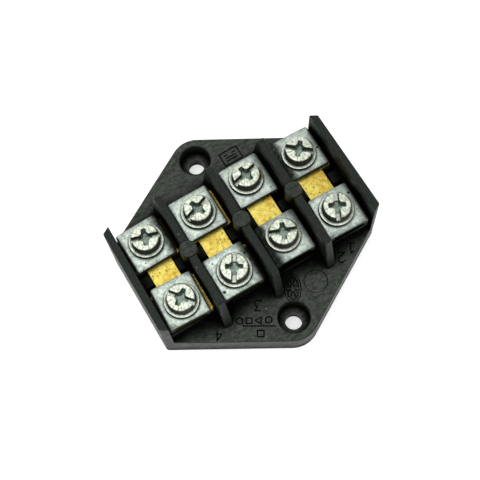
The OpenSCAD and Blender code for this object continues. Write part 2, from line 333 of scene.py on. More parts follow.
@dataclass(frozen=True)
class RolledBrass(Finish):
    """Brass strip, rolled and left bare: streaks along the bar and tarnish spots, with painted shade near
    the walls and round the clamps.
    """

    name: str = "rolled_brass"
    slot: str = "brass"
    clean: str = "#d6c563"
    warm: str = "#c4a747"
    tarnish: str = "#7c621d"
    line: str = "#4c3a12"
    shade: str = "#231e0d"
    streak_mm: float = 0.35
    spot_mm: float = 0.7
    scratch_mm: float = 3.2
    reach_mm: float = 3.0
    middle: Point2 = (0.0, 0.0)
    shade_y: Point2 = (3.4, 4.4)
    lit_x: float = 4.5
    lit_y: float = 14.0
    lit_row: float = 0.0
    lit_share: float = 0.9

    def surface(self, tree: Tree) -> Source:
        """Draws the surface and returns its shader."""
        node = partial(add_node, tree)
        place = node("TexCoord").outputs["Object"]
        at = {"Vector": place}
        # Rolling streaks run along the bar, so the pattern is drawn out along Y.
        drawn = {"Vector": node("Mapping", {"Scale": (1.0, 0.08, 1.0)}, at)}
        streaks = node("TexNoise", {"Scale": per_mm(self.streak_mm), "Detail": 3.0}, drawn)
        spots = node("TexNoise", {"Scale": per_mm(self.spot_mm), "Detail": 4.0, "Roughness": 0.7}, at)
        clouds = node("TexNoise", {"Scale": per_mm(self.spot_mm * 4), "Detail": 2.0}, at)
        metal = node("ValToRGB", {"stops": [(0.35, self.clean), (0.65, self.warm)]}, {"Fac": clouds})
        stain = node("MapRange", {"span": (0.58, 0.70, 0.0, 0.85)}, {"Value": spots})
        # Thin dark scratches wander over it.
        wander = node("TexNoise", {"Scale": per_mm(self.scratch_mm), "Detail": 3.0, "Distortion": 0.6}, at)
        off = node("Math", {"operation": "SUBTRACT", 1: 0.52}, {0: wander})
        apart = node("Math", {"operation": "ABSOLUTE"}, {0: off})
        scratch = node("MapRange", {"span": (0.011, 0.004, 0.0, 0.8)}, {"Value": apart})
        # Painted shade lies all round the clamps, but for the one ledge on the right that is left lit.
        x, y = self.middle
        centred = node("VectorMath", {"operation": "SUBTRACT", 1: (x * MM, y * MM, 0.0)}, {0: place})
        spot = node("SeparateXYZ", links={"Vector": centred}).outputs
        along = node("Math", {"operation": "ABSOLUTE"}, {0: spot["Y"]})
        start, full = self.shade_y
        beyond = node("MapRange", {"span": (start * MM, full * MM)}, {"Value": along})
        right = node("Math", {"operation": "GREATER_THAN", 1: self.lit_x * MM}, {0: spot["X"]})
        toward = node("Math", {"operation": "MULTIPLY", 1: self.lit_row}, {0: spot["Y"]})
        on_row = node("Math", {"operation": "GREATER_THAN", 1: 0.0}, {0: toward})
        short = node("Math", {"operation": "LESS_THAN", 1: self.lit_y * MM}, {0: along})
        lit_ledge = folded(tree, "MULTIPLY", right, on_row, short)
        shade_left = node("Math", {"operation": "MULTIPLY_ADD", 1: -self.lit_share, 2: 1.0}, {0: lit_ledge})
        clamp_shade = folded(tree, "MULTIPLY", beyond, shade_left)
        # Painted shade on the brass close to the black walls of the channel.
        darkest = folded(tree, "MAXIMUM", closed_in(tree, self.reach_mm, (0.45, 0.20), 0.9), clamp_shade)
        colour = coated(tree, metal, (stain, self.tarnish), (scratch, self.line), (darkest, self.shade))
        # Where shade is painted the brass is less metallic, so that it doesn't mirror the lamp there.
        bare = node("MapRange", {"span": (0.4, 1.0, 1.0, 0.2)}, {"Value": darkest})
        rough = node("MapRange", {"span": (0.3, 0.7, 0.26, 0.5)}, {"Value": spots})
        bump = node("Bump", {"Strength": 0.3, "Distance": 0.012 * MM}, {"Height": streaks})
        links = {"Base Color": colour, "Metallic": bare, "Roughness": rough, "Normal": bump}
        return node("BsdfPrincipled", {"Specular IOR Level": 0.0}, links)


@dataclass(frozen=True)
class ZincPlate(Finish):
    """Steel plated with zinc: mottled grey, pitted, with painted shade on its steep faces and in its
    crevices.
    """

    name: str = "zinc_plated_clamp"
    slot: str = "zinc_clamp"
    bright: str = "#ccd8ce"
    dull: str = "#97a399"
    pit: str = "#1d221b"
    shade: str = "#252c26"
    stain: str = "#7d6a35"
    mottle_mm: float = 1.3
    grain_mm: float = 0.55
    pit_mm: float = 1.0
    reach_mm: float = 1.1
    edge_mm: float = 0.16
    crevice: Point2 = (0.88, 0.50)
    steep: Point2 = (0.40, 0.05)
    streaks: float = 0.0
    outline: float = 0.0
    roughness: Point2 = (0.30, 0.48)
    pitting: float = 0.9

    def surface(self, tree: Tree) -> Source:
        """Draws the surface and returns its shader."""
        node = partial(add_node, tree)
        coords = node("TexCoord").outputs
        at = {"Vector": coords["Object"]}
        mottle = node("TexNoise", {"Scale": per_mm(self.mottle_mm), "Detail": 6.0, "Roughness": 0.68}, at)
        grain = node("TexNoise", {"Scale": per_mm(self.grain_mm), "Detail": 3.0, "Roughness": 0.65}, at)
        fine = node("Math", {"operation": "MULTIPLY", 1: 0.45}, {0: grain})
        mixed = node("Math", {"operation": "MULTIPLY_ADD", 1: 0.55}, {0: mottle, 2: fine})
        metal = node("ValToRGB", {"stops": [(0.38, self.dull), (0.58, self.bright)]}, {"Fac": mixed})
        # Scratches that run out from the axis, left by the driver.
        settings = {"operation": "SUBTRACT", 1: (0.5, 0.5, 0.0)}
        centred = node("VectorMath", settings, {0: coords["Generated"]})
        level = node("VectorMath", {"operation": "MULTIPLY", 1: (1.0, 1.0, 0.0)}, {0: centred})
        bearing = {"Vector": node("VectorMath", {"operation": "NORMALIZE"}, {0: level})}
        rays = node("TexNoise", {"Scale": 8.5, "Detail": 3.0, "Roughness": 0.6}, bearing)
        scratch = node("MapRange", {"span": (0.53, 0.66, 0.0, self.streaks)}, {"Value": rays})
        # Pits and soot-like spots: the middles of scattered cells, only some of them.
        cells = node("TexVoronoi", {"Scale": per_mm(self.pit_mm), "Randomness": 1.0}, at).outputs
        chance = node("SeparateColor", links={"Color": cells["Color"]}).outputs["Red"]
        picked = node("Math", {"operation": "GREATER_THAN", 1: 0.45}, {0: chance})
        dot = node("MapRange", {"span": (0.15, 0.06, 0.0, self.pitting)}, {"Value": cells["Distance"]})
        marked = folded(tree, "MAXIMUM", folded(tree, "MULTIPLY", dot, picked), scratch)
        # Yellow-brown stains where the plating has started to go.
        stained = node("Attribute", {"attribute_name": "stained"}).outputs["Fac"]
        # Painted shade and painted dark reflection: steep faces, crevices and the sides that face a wall
        # are darkened.
        upright = node("MapRange", {"span": (*self.steep, 0.0, 0.92)}, {"Value": upward(tree)})
        crevices = closed_in(tree, self.reach_mm, self.crevice, 0.92)
        walled = node("Attribute", {"attribute_name": "walled"}).outputs["Fac"]
        uneven = node("MapRange", {"span": (0.3, 0.7, 1.12, 0.88)}, {"Value": mottle})
        patchy = node("Math", {"operation": "MULTIPLY", "use_clamp": True}, {0: walled, 1: uneven})
        # A dark line along the sharp edges: painted shade at the edges of the slot and the recess, and the
        # dark rim of the pits.
        line = along_edges(tree, self.edge_mm, (0.99, 0.88), self.outline)
        darkest = folded(tree, "MAXIMUM", upright, crevices, patchy, line)
        colour = coated(tree, metal, (marked, self.pit), (stained, self.stain), (darkest, self.shade))
        # Where shade is painted the metal turns non-metallic, so that those places don't mirror the lamp.
        bare = node("MapRange", {"span": (0.3, 0.92, 1.0, 0.1)}, {"Value": darkest})
        low, high = self.roughness
        rough = node("MapRange", {"span": (0.3, 0.7, high, low)}, {"Value": mottle})
        height = node("Math", {"operation": "MULTIPLY_ADD", 1: 2.0}, {0: mottle, 2: grain})
        bump = node("Bump", {"Strength": 0.5, "Distance": 0.03 * MM}, {"Height": height})
        links = {"Base Color": colour, "Metallic": bare, "Roughness": rough, "Normal": bump}
        return node("BsdfPrincipled", {"Specular IOR Level": 0.0}, links)


class Stock(Enum):
    """Zinc-plated steel as it looks on each kind of part."""

    CLAMP = "clamp"
    WASHER = "washer"
    SCREW = "screw"
    RECESS = "recess"
    PIT = "pit"
    SLOT = "slot"


ZINC: dict[Stock, ZincPlate] = {
    # Pressed sheet: cool mottled grey with dark pits.
    Stock.CLAMP: ZincPlate(),
    # Heads: brighter and a little yellow, scratched outwards by the driver.
    Stock.SCREW: ZincPlate(
        name="zinc_plated_screw", slot="zinc_screw", bright="#dfe5d6", dull="#959e8b", shade="#1c211b",
        edge_mm=0.26, roughness=(0.26, 0.40), pitting=0.5, mottle_mm=0.8, reach_mm=1.0,
        crevice=(0.75, 0.35), steep=(0.80, 0.45), streaks=0.6, outline=0.8,
    ),
    # Washers: the brightest plating, with painted shade under the head.
    Stock.WASHER: ZincPlate(
        name="zinc_plated_washer", slot="zinc_washer", bright="#e2ebdd", dull="#a4ae9d", shade="#171c16",
        roughness=(0.24, 0.38), pitting=0.4, mottle_mm=0.9, reach_mm=1.5, crevice=(0.88, 0.60),
        steep=(0.85, 0.5),
    ),
    # The driven recess: a darker green-grey copy of the plating, painted shade inside the recess.
    Stock.RECESS: ZincPlate(
        name="shaded_zinc_recess", slot="zinc_screw", bright="#9aa89d", dull="#67766c", shade="#38423a",
        roughness=(0.45, 0.6), pitting=0.6, mottle_mm=0.5, reach_mm=0.6, crevice=(0.5, 0.1),
        steep=(0.25, -0.2), outline=0.7,
    ),
    # The slot: bright floor between two dark edges, painted shade on its walls.
    Stock.SLOT: ZincPlate(
        name="zinc_plated_slot", slot="zinc_screw", bright="#ccd4c6", dull="#8f988a", shade="#20261f",
        reach_mm=0.5, crevice=(0.90, 0.56), steep=(0.95, 0.70), mottle_mm=0.6, edge_mm=0.3, outline=0.9,
    ),
    # Pits: dull olive to black corrosion with a dark rim.
    Stock.PIT: ZincPlate(
        name="corroded_zinc_pit", bright="#5c5f45", dull="#20241a", shade="#12150f",
        roughness=(0.5, 0.7), mottle_mm=0.4, outline=0.9, steep=(0.9, 0.6),
    ),
}


@dataclass(frozen=True)
class WhiteSweep(Finish):
    """White paper sweep. It shows white to the lens and keeps the object's shadow."""

    name: str = "white_paper_sweep"
    paper: str = "#f7f7f7"
    glow: str = "#ffffff"
    lift: float = 0.5

    def surface(self, tree: Tree) -> Source:
        """Draws the surface and returns its shader."""
        paper = add_node(tree, "BsdfDiffuse", {"Color": linear(self.paper)})
        glow = add_node(tree, "Emission", {"Color": linear(self.glow), "Strength": self.lift})
        lifted = add_node(tree, "AddShader", links={0: paper, 1: glow})
        seen = seen_by(tree, "Camera", "Glossy")
        return add_node(tree, "MixShader", links={0: seen, 1: paper, 2: lifted})


# ---------------------------------------------------------------- mesh workshop


def node_box(node: str) -> tuple[Vector, Vector]:
    """A node's lowest and highest corner, in millimetres."""
    low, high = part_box(node)
    return low / MM, high / MM


def arc(centre: Point2, radius: float, start_deg: float, end_deg: float, steps: int) -> list[Point2]:
    """Points along an arc, both ends included."""
    turns = (math.radians(start_deg + (end_deg - start_deg) * k / steps) for k in range(steps + 1))
    return [(centre[0] + radius * math.cos(t), centre[1] + radius * math.sin(t)) for t in turns]


def ellipse(half: Point2, steps: int) -> list[Point2]:
    """Points round an ellipse about the origin, with the first again at the end."""
    return [(half[0] * x, half[1] * y) for x, y in arc((0, 0), 1, 0, 360, steps)]


def bridged(mesh: Mesh, rings: Sequence[Ring]) -> None:
    """Joins each ring of points to the next one with four-sided faces."""
    for lower, upper in zip(rings, rings[1:]):
        for k in range(len(lower)):
            n = (k + 1) % len(lower)
            mesh.faces.new((lower[k], lower[n], upper[n], upper[k]))


def box_mesh(low: Sequence[float], high: Sequence[float]) -> Mesh:
    """A closed box between two corners, in millimetres."""
    mesh = bmesh.new()
    bmesh.ops.create_cube(mesh, size=1.0)
    for vertex in mesh.verts:
        vertex.co = Vector((low[i] + high[i]) / 2 + vertex.co[i] * (high[i] - low[i]) for i in range(3))
    return mesh


def prism(outline: Sequence[Point2], low: float, high: float) -> Mesh:
    """A closed prism over an outline in XY, whose points run counterclockwise."""
    mesh = bmesh.new()
    bottom, top = ([mesh.verts.new((x, y, z)) for x, y in outline] for z in (low, high))
    mesh.faces.new(bottom[::-1])
    mesh.faces.new(top)
    bridged(mesh, [bottom, top])
    return mesh


def lathe(profile: Sequence[Point2], steps: int = 96) -> Mesh:
    """Turns a profile about Z.

    Args:
        profile: Points of radius and height. A profile that starts and ends on the
            axis gives a solid, and any other is closed into a ring.
        steps: Number of steps round the turn.

    Returns:
        The mesh.
    """
    mesh = bmesh.new()
    rings: list[Ring] = []
    for radius, height in profile:
        count = 1 if radius < NEAR else steps
        turns = (2 * math.pi * k / steps for k in range(count))
        rings.append([mesh.verts.new((radius * math.cos(t), radius * math.sin(t), height)) for t in turns])
    pairs = list(zip(rings, rings[1:]))
    if len(rings[0]) > 1:
        pairs.append((rings[-1], rings[0]))
    for lower, upper in pairs:
        for k in range(steps):
            n = (k + 1) % steps
            corners = [lower[k % len(lower)], lower[n % len(lower)]]
            corners += [upper[n % len(upper)], upper[k % len(upper)]]
            unique = list(dict.fromkeys(corners))
            if len(unique) > 2:
                mesh.faces.new(unique)
    bmesh.ops.recalc_face_normals(mesh, faces=mesh.faces)
    return mesh


def rod(radius: float, low: float, high: float, steps: int) -> Mesh:
    """A solid rod about Z between two heights."""
    return lathe([(0, low), (radius, low), (radius, high), (0, high)], steps)


def moved(mesh: Mesh, by: Sequence[float] = (0, 0, 0), turn_deg: float = 0.0) -> Mesh:
    """Turns a mesh about Z and then moves it, in place."""
    turn = Matrix.Rotation(math.radians(turn_deg), 4, "Z")
    bmesh.ops.transform(mesh, matrix=Matrix.Translation(by) @ turn, verts=mesh.verts)
    return mesh


def any_edge(edge: Edge) -> bool:
    """Picks every edge."""
    return True


def level_edge(edge: Edge) -> bool:
    """Picks the edges that lie level."""
    return abs(edge.verts[0].co.z - edge.verts[1].co.z) < NEAR


def standing_edge(edge: Edge) -> bool:
    """Picks the edges that stand up, over 1 mm tall."""
    return abs(edge.verts[0].co.z - edge.verts[1].co.z) > 1.0


def rounded_edges(
    mesh: Mesh, radius: float, steps: int = 3, keep: Callable[[Edge], bool] = any_edge
) -> Mesh:
    """Rounds the sharp edges of a mesh, in place.

    Args:
        mesh: The mesh.
        radius: Radius of the rounding, in millimetres.
        steps: Faces across the rounding.
        keep: Picks the edges to round among the sharp ones.

    Returns:
        The same mesh.
    """
    limit = math.radians(ROUNDED_DEG)
    mesh.normal_update()
    edges = [e for e in mesh.edges if len(e.link_faces) == 2 and e.calc_face_angle(0.0) > limit and keep(e)]
    bmesh.ops.bevel(
        mesh, geom=edges, offset=radius, offset_type="OFFSET", segments=steps, profile=0.5,
        affect="EDGES", clamp_overlap=True,
    )
    return mesh


def joined(parts: Iterable[Mesh]) -> Mesh:
    """Puts several meshes into one and frees them."""
    whole = bmesh.new()
    for part in parts:
        data = bpy.data.meshes.new("part")
        part.to_mesh(data)
        part.free()
        whole.from_mesh(data)
        bpy.data.meshes.remove(data)
    return whole


def placed(name: str, data: bpy.types.ID) -> bpy.types.Object:
    """Makes an object of its data and links it into the scene."""
    item = bpy.data.objects.new(name, data)
    bpy.context.scene.collection.objects.link(item)
    return item


def carved(body: Mesh, tool: Mesh, operation: str = "DIFFERENCE", tool_index: int = 0) -> Mesh:
    """Cuts or adds one mesh with another.

    Args:
        body: The mesh that is worked on. It is freed.
        tool: The mesh that cuts it or is added to it. It is freed.
        operation: DIFFERENCE or UNION.
        tool_index: Material number that the tool's faces leave on the body.

    Returns:
        The worked mesh.
    """
    for face in tool.faces:
        face.material_index = tool_index
    items = []
    for name, mesh in (("body", body), ("tool", tool)):
        data = bpy.data.meshes.new(name)
        mesh.to_mesh(data)
        mesh.free()
        for _ in range(tool_index + 1):
            data.materials.append(None)
        items.append(placed(name, data))
    worked, cutter = items
    step = worked.modifiers.new("step", "BOOLEAN")
    step.operation = operation
    step.solver = "EXACT"
    step.use_self = True
    step.material_mode = "INDEX"
    step.object = cutter
    bpy.context.view_layer.update()
    graph = bpy.context.evaluated_depsgraph_get()
    result = bmesh.new()
    result.from_mesh(worked.evaluated_get(graph).to_mesh())
    for item in items:
        data = item.data
        bpy.data.objects.remove(item)
        bpy.data.meshes.remove(data)
    return result


def finished(mesh: Mesh, name: str, body: str, replaces: str, finishes: Sequence[Finish]) -> None:
    """Turns a mesh in millimetres into a dressed piece that stands for a CAD node.

    Edges that turn by more than CRISP_DEG stay crisp.

    Args:
        mesh: The mesh, which is freed.
        name: Name of the piece.
        body: The moving body that it rides on.
        replaces: The node that it stands for.
        finishes: Its finishes, in the order of its material numbers.
    """
    bmesh.ops.remove_doubles(mesh, verts=mesh.verts, dist=MERGE)
    bmesh.ops.scale(mesh, vec=(MM, MM, MM), verts=mesh.verts)
    for face in mesh.faces:
        face.smooth = True
    data = bpy.data.meshes.new(name)
    mesh.to_mesh(data)
    mesh.free()
    data.set_sharp_from_angle(angle=math.radians(CRISP_DEG))
    for finish in finishes:
        data.materials.append(finish.material())
    piece = placed(name, data)
    weighted = piece.modifiers.new("weighted_normals", "WEIGHTED_NORMAL")
    weighted.keep_sharp = True
    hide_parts(replaces)
    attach(piece, body)
    LOG.info("%s: %d faces", name, len(data.polygons))


# ---------------------------------------------------------------- the moulding


# Single-line numerals in a cell 1 wide and 1.6 high.
DIGITS: dict[str, list[list[Point2]]] = {
    "1": [[(0.2, 1.3), (0.5, 1.6), (0.5, 0.0)], [(0.2, 0.0), (0.8, 0.0)]],
    "2": [[(0.0, 1.3), (0.3, 1.6), (0.7, 1.6), (0.95, 1.25), (0.8, 0.8), (0.0, 0.0)]]
    + [[(0.0, 0.0), (1.0, 0.0)]],
    "3": [[(0.05, 1.6), (0.9, 1.6), (0.5, 0.95), (0.85, 0.75), (0.95, 0.4)]]
    + [[(0.95, 0.4), (0.7, 0.05), (0.25, 0.0), (0.0, 0.2)]],
    "4": [[(0.75, 0.0), (0.75, 1.6), (0.0, 0.45), (1.0, 0.45)]],
}
# Place in mm, turn in degrees, width in mm and numeral of each number on the plate.
PLATE_NUMBERS: list[tuple[Point2, float, float, str]] = [
    ((-18.6, -19.6), 149.0, 1.5, "4"),
    ((-6.3, -17.8), 149.0, 1.7, "3"),
    ((18.5, -17.9), 149.0, 1.7, "2"),
    ((21.9, -17.0), 149.0, 1.7, "1"),
]
# Place in mm, turn in degrees and length in mm of each bar on the plate.
PLATE_BARS: list[tuple[Point2, float, float]] = [
    ((-8.7, -22.5), -31.0, 8.0),
    ((8.8, 21.2), 0.0, 3.0),
    ((8.8, 20.4), 0.0, 3.0),
    ((7.6, 22.0), 0.0, 0.8),
    ((10.0, 22.0), 0.0, 0.8),
]
# Place in mm, turn in degrees, corners and radius in mm of each plain figure.
PLATE_FIGURES: list[tuple[Point2, float, int, float]] = [
    ((-12.2, -18.9), -31.0, 24, 0.8),
    ((-10.1, -20.1), -31.0, 4, 1.0),
    ((-7.9, -21.3), -31.0, 3, 1.0),
    ((-5.8, -22.4), -31.0, 6, 0.9),
    ((-9.3, -24.4), -31.0, 4, 1.15),
]
# Two opposite corners in mm of each engraved frame.
PLATE_FRAMES: list[tuple[Point2, Point2]] = [((6.2, 19.3), (11.4, 23.1))]
# The sunk oval badge: its place and half size in mm and its turn in degrees, then the
# half sizes of the line and disc that stand in it, and its rays' inner and outer reach.
BADGE_PLACE, BADGE_HALF, BADGE_TURN = (3.6, -18.5), (2.25, 3.85), -28.0
BADGE_LINE, BADGE_DISC = (1.85, 3.4), (0.5, 0.8)
BADGE_RAY_IN, BADGE_RAY_OUT = (0.8, 1.4), (1.3, 2.5)
# The middle, in mm, of the round witness that an ejector left on the plate.
WITNESS_PLACE = (9.65, -19.9)


@dataclass
class BaseMoulding:
    """The black moulding: plate, pedestal, barriers, posts, blocks and holes."""

    plate_t: float = 7.5
    pedestal_h: float = 2.4
    pedestal_inset: float = 0.6
    pedestal_edge_r: float = 0.2
    block_length: float = 28.4
    mount_spacing: float = 50.0
    tip_margin: float = 7.2
    tip_r: float = 7.0
    hole_r: float = 2.2
    counterbore_r: float = 4.1
    counterbore_depth: float = 4.0
    mouth_r: float = 0.22
    recess_depth: float = 2.0
    rim_w: float = 3.0
    boss_r: float = 5.5
    barrier_t: float = 2.3
    outer_barrier_t: float = 2.2
    barrier_draft_deg: float = 0.8
    barrier_foot: float = 37.7
    barrier_crest: float = 32.4
    crest_r: float = 0.8
    post_r: float = 2.2
    post_rise: float = 0.15
    post_gap: float = 0.22
    post_edge_r: float = 0.18
    block_h: float = 3.5
    block_w: float = 3.2
    block_reach: float = 3.75
    block_gap: float = 0.4
    block_edge_r: float = 0.18
    pocket_r: float = 2.5
    pocket_z: float = 4.5
    bar_play: float = 1.65
    row_y: float = 9.0
    pitch: float = 15.0
    edge_r: float = 0.3
    corner_r: float = 0.5
    mark_depth: float = 0.35
    mark_clear: float = 0.5
    badge_line_w: float = 0.22
    badge_ray_w: float = 0.3
    witness_line_w: float = 0.24
    witness_r: float = 3.0
    witness_depth: float = 0.15
    witness_draft: float = 0.06
    root: float = 1.0
    # The outer barriers stand this far inside the plate's sides, so that no faces coincide.
    hair: float = 0.01
    half_w: float = field(init=False)
    crest_z: float = field(init=False)

    def __post_init__(self) -> None:
        """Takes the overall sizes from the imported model."""
        _, high = node_box("base")
        self.half_w = high.x
        self.crest_z = high.z - self.post_rise

    @property
    def corner_y(self) -> float:
        """Where the straight sides end."""
        return self.block_length / 2

    @property
    def tip_y(self) -> float:
        """Where the sloping sides would meet."""
        return self.mount_spacing / 2 + self.tip_margin

    @property
    def slope_deg(self) -> float:
        """Angle of the sloping sides from the X axis."""
        return math.degrees(math.atan2(self.tip_y - self.corner_y, self.half_w))

    @property
    def barrier_xs(self) -> list[float]:
        """Where the inner barriers and their posts stand."""
        return [i * self.pitch for i in (-1, 0, 1)]

    @property
    def pole_xs(self) -> list[float]:
        """Where the poles lie."""
        return [(pole - sum(POLES) / len(POLES)) * self.pitch for pole in POLES]

    @property
    def mark_span(self) -> Point2:
        """Lowest and highest reach of the tools that engrave the plate."""
        return self.plate_t - self.mark_depth, self.plate_t + self.mark_clear

    def above_root(self, edge: Edge) -> bool:
        """Picks the edges of a barrier that reach over 0.1 mm above its sunk root."""
        return max(v.co.z for v in edge.verts) > self.plate_t - self.root + 0.1

    def outline(self, inset: float, steps: int = 20) -> list[Point2]:
        """The plate's outline, moved inwards by inset, counterclockwise."""
        slope = math.radians(self.slope_deg)
        side = self.half_w - inset
        point = self.tip_y - inset / math.cos(slope)
        corner = point - side * math.tan(slope)
        radius = self.tip_r - inset
        middle = point - radius / math.cos(slope)
        upper = arc((0, middle), radius, 90 - self.slope_deg, 90 + self.slope_deg, steps)
        half = [(side, corner), *upper, (-side, corner)]
        return half + [(-x, -y) for x, y in half]

    def plate(self) -> Mesh:
        """The mounting plate with softened outer edges."""
        mesh = prism(self.outline(0.0), 0.0, self.plate_t)
        rounded_edges(mesh, self.corner_r, 3, standing_edge)
        return rounded_edges(mesh, self.edge_r, 3, level_edge)

    def pedestal(self) -> Mesh:
        """The raised pedestal that the bars lie on."""
        x, y = self.half_w - self.pedestal_inset, self.corner_y
        box = box_mesh((-x, -y, self.plate_t - self.root), (x, y, self.plate_t + self.pedestal_h))
        return rounded_edges(box, self.pedestal_edge_r, 2)

    def inner_barrier(self, x: float) -> Mesh:
        """One inner barrier: drafted faces, sloping ends and a rounded crest."""
        low, high = self.plate_t - self.root, self.crest_z
        height = high - self.plate_t
        run = (self.barrier_foot - self.barrier_crest) / 2
        slope = math.degrees(math.atan2(height, run))
        back = self.crest_r * math.tan(math.radians(slope / 2))
        foot_y = self.barrier_foot / 2 + run * self.root / height
        round_y = self.barrier_crest / 2 - back
        crest = arc((round_y, high - self.crest_r), self.crest_r, 90 - slope, 90, 4)
        half = [(foot_y, low), *crest]
        profile = half + [(-y, z) for y, z in reversed(half)]
        draft = math.tan(math.radians(self.barrier_draft_deg))
        mesh = bmesh.new()
        front, back_side = (
            [
                mesh.verts.new((x + s * (self.barrier_t / 2 - (z - self.plate_t) * draft), y, z))
                for y, z in profile
            ]
            for s in (1, -1)
        )
        mesh.faces.new(front)
        mesh.faces.new(back_side[::-1])
        for i in range(len(profile)):
            j = (i + 1) % len(profile)
            mesh.faces.new((front[i], back_side[i], back_side[j], front[j]))
        bmesh.ops.recalc_face_normals(mesh, faces=mesh.faces)
        return rounded_edges(mesh, self.edge_r, 3, self.above_root)

    def outer_barrier(self, side: int) -> Mesh:
        """One outer barrier, whose ends follow the plate's sloping sides."""
        low, high = self.plate_t - self.root, self.crest_z
        outer = self.half_w - self.hair
        slope = math.tan(math.radians(self.slope_deg))
        lean = (high - self.plate_t) * math.tan(math.radians(self.barrier_draft_deg))
        mesh = bmesh.new()
        rings = []
        for z, inner in ((low, outer - self.outer_barrier_t), (high, outer - self.outer_barrier_t + lean)):
            reach = self.corner_y + (outer - inner) * slope
            plan = [(inner, -reach), (outer, -self.corner_y), (outer, self.corner_y), (inner, reach)]
            rings.append([mesh.verts.new((side * x, y, z)) for x, y in plan])
        mesh.faces.new(rings[0])
        mesh.faces.new(rings[1])
        bridged(mesh, rings)
        bmesh.ops.recalc_face_normals(mesh, faces=mesh.faces)
        return rounded_edges(mesh, self.edge_r, 3, self.above_root)

    def post(self, x: float) -> Mesh:
        """One marker post with a softened flat top."""
        foot, top = self.plate_t - self.root, self.crest_z + self.post_rise
        soft = self.post_edge_r
        rim = arc((self.post_r - soft, top - soft), soft, 0, 90, 3)
        return moved(lathe([(0, foot), (self.post_r, foot), *rim, (0, top)], 48), (x, 0, 0))

    def groove(self, x: float) -> Mesh:
        """Tool for the narrow groove round one post."""
        inner, outer = self.post_r, self.post_r + self.post_gap
        low, high = self.crest_z - self.post_gap, self.crest_z + CLEAR
        return moved(lathe([(inner, low), (outer, low), (outer, high), (inner, high)], 48), (x, 0, 0))

    def blocks(self, x: float) -> list[Mesh]:
        """The two blocks that stand in the notches of one bar."""
        half, top = self.block_w / 2, self.plate_t + self.pedestal_h + self.block_h
        made = []
        for s in SIDES:
            near, far = sorted((s * self.block_reach, s * (self.pitch / 2 - self.block_gap)))
            mesh = box_mesh((x + near, -half, self.plate_t), (x + far, half, top))
            made.append(rounded_edges(mesh, self.block_edge_r, 2))
        return made

    def mounting_hole(self, side: int) -> Mesh:
        """Tool for one fixing hole: a counterbore whose mouth is softened."""
        seat, top, soft = self.plate_t - self.counterbore_depth, self.plate_t + CLEAR, self.mouth_r
        mouth = [
            (self.counterbore_r + soft - x, self.plate_t - soft + y)
            for x, y in arc((0, 0), soft, 0, 90, 3)
        ]
        bore = [(0, -CLEAR), (self.hole_r, -CLEAR), (self.hole_r, seat), (self.counterbore_r, seat)]
        hole = lathe([*bore, *mouth, (self.counterbore_r + soft, top), (0, top)], 64)
        return moved(hole, (0, side * self.mount_spacing / 2, 0))

    def underside(self) -> Mesh:
        """Tool for the recess in the underside, less its ribs and bosses."""
        tool = prism(self.outline(self.rim_w), -CLEAR, self.recess_depth)
        low, top = -2 * CLEAR, self.recess_depth + CLEAR
        for x in self.barrier_xs:
            near, far = x - self.barrier_t / 2, x + self.barrier_t / 2
            tool = carved(tool, box_mesh((near, -self.tip_y, low), (far, self.tip_y, top)))
        for s in SIDES:
            boss = moved(rod(self.boss_r, low, top, 64), (0, s * self.mount_spacing / 2, 0))
            tool = carved(tool, boss)
        return tool

    def pocket(self, x: float, y: float) -> Mesh:
        """Tool for the long pocket under one screw."""
        ends = arc((0, self.bar_play), self.pocket_r, 0, 180, 12)
        ends += arc((0, -self.bar_play), self.pocket_r, 180, 360, 12)
        top = self.plate_t + self.pedestal_h + 0.5 * CLEAR
        return moved(prism(ends, self.pocket_z, top), (x, y, 0))

    def witness(self) -> Mesh:
        """Tool for the ejector's round witness."""
        floor, top = self.plate_t - self.witness_depth, self.plate_t + CLEAR
        wide = self.witness_r + self.witness_draft
        tool = lathe([(0, floor), (self.witness_r, floor), (wide, top), (0, top)], 64)
        return moved(tool, (*WITNESS_PLACE, 0))

    def stroke(self, points: Sequence[Point2], turn: float = 0.0, width: float = 0.4) -> Mesh:
        """Tool for one engraved line with round ends.

        Args:
            points: The line's points, in millimetres.
            turn: Turn of the whole line about Z, in degrees.
            width: Width of the line, in millimetres.

        Returns:
            The tool, which reaches from the line's floor to above the plate.
        """
        parts = []
        for (x0, y0), (x1, y1) in zip(points, points[1:]):
            away = math.degrees(math.atan2(y1 - y0, x1 - x0))
            ends = arc((math.hypot(x1 - x0, y1 - y0), 0), width / 2, -90, 90, 5)
            ends += arc((0, 0), width / 2, 90, 270, 5)
            parts.append(moved(prism(ends, *self.mark_span), (x0, y0, 0), away))
        return moved(joined(parts), (0, 0, 0), turn)

    def badge(self) -> Mesh:
        """Tool for a sunk oval in which a line, a disc and rays are left standing."""
        low, high = self.mark_span
        tool = prism(ellipse(BADGE_HALF, 48)[:-1], low, high)
        kept = [self.stroke(ellipse(BADGE_LINE, 36), 0.0, self.badge_line_w)]
        kept.append(prism(ellipse(BADGE_DISC, 24)[:-1], low - CLEAR, high))
        for angle in range(0, 360, 45):
            x, y = math.cos(math.radians(angle)), math.sin(math.radians(angle))
            ray = [(a * x, b * y) for a, b in (BADGE_RAY_IN, BADGE_RAY_OUT)]
            kept.append(self.stroke(ray, 0.0, self.badge_ray_w))
        for part in kept:
            tool = carved(tool, part)
        return moved(tool, (*BADGE_PLACE, 0), BADGE_TURN)

